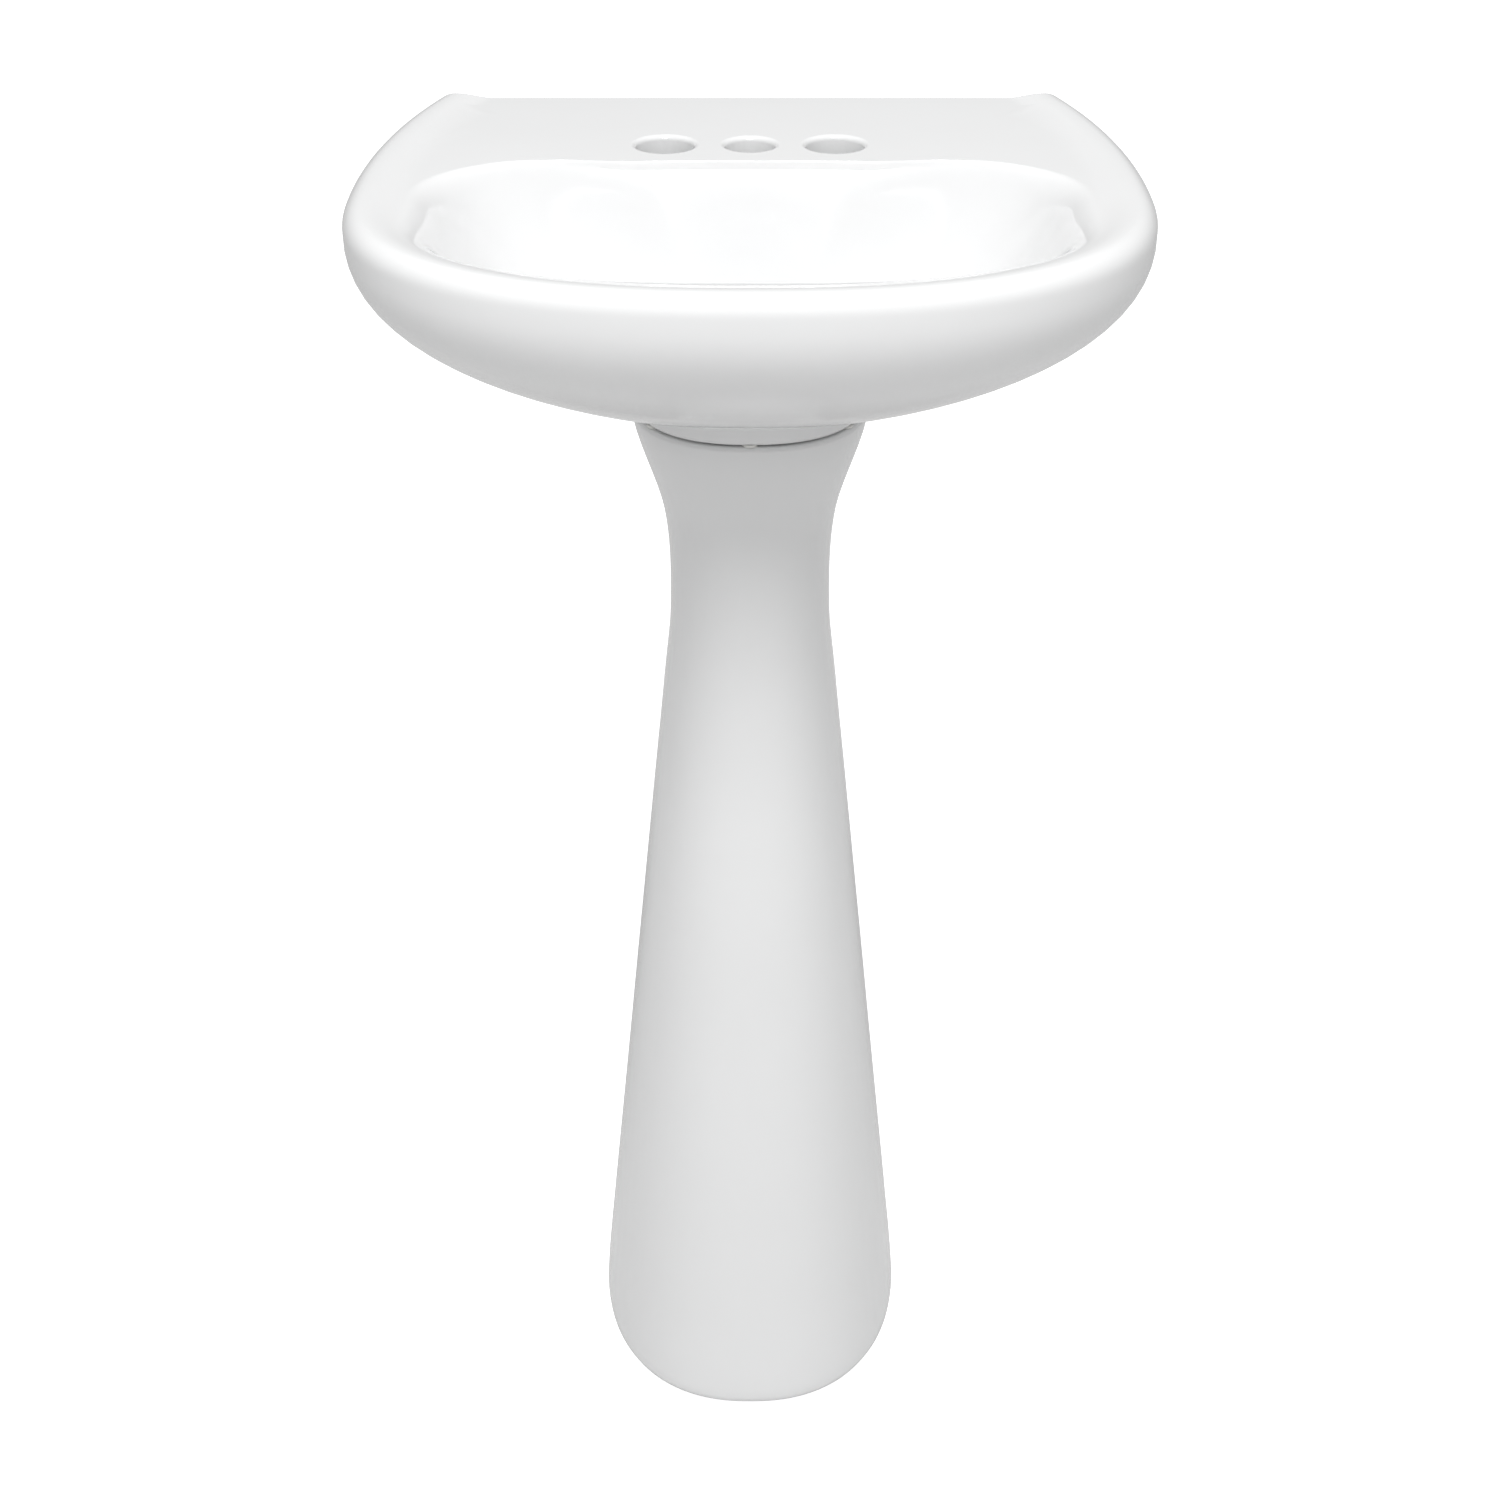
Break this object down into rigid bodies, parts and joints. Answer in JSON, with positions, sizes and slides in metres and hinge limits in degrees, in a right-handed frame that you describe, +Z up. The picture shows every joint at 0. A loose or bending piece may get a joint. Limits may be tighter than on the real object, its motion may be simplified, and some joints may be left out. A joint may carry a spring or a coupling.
{
  "type": "pedestal sink",
  "caption": "Small white china wash basin on a hollow, open-backed pedestal, hung on the wall, with a push-button drain and a trap hidden inside the column.",
  "frame": {"origin": "on the floor, under the middle of the overall width and depth", "axes": "+Z up, -Y out of the sink's front, +Y towards the room's wall, +X to the sink's right side as seen from the front"},
  "size_m": [0.4602, 0.3861, 0.83],
  "materials": {
    "china": "glossy white glaze",
    "clear_rubber": "soft, matt",
    "zinc_steel": "zinc plated, dull",
    "chrome": "polished chrome plate",
    "foam": "matt foam",
    "black_rubber": "matt",
    "white_plastic": "semi-matt",
    "brass": "turned",
    "grey_plastic": "moulded",
    "spring_steel": "bright wire"
  },
  "bodies": {
    "sink": {"basin": "china", "pedestal": "china", "pedestal_pads": "clear_rubber", "hanger_left": "zinc_steel", "hanger_right": "zinc_steel", "drain_body": "chrome", "drain_flange_gasket": "foam", "drain_seal_washer": "black_rubber", "drain_slip_washer": "white_plastic", "drain_locknut": "brass", "stopper_cartridge": "grey_plastic", "stopper_spring": "spring_steel", "tailpiece": "chrome", "trap_inlet_washer": "white_plastic", "trap_inlet_nut": "chrome", "trap_bend": "chrome", "trap_outlet_washer": "white_plastic", "trap_outlet_nut": "chrome", "trap_arm": "chrome"},
    "stopper": {"stopper_cap": "chrome", "stopper_stem": "grey_plastic", "stopper_cap_seal": "black_rubber"}
  },
  "joints": [
    {"name": "stopper_lift", "type": "slide", "parent": "sink", "child": "stopper", "axis": [0, 0, 1], "range_m": [0, 0.008], "deforming": ["stopper_spring"]}
  ]
}
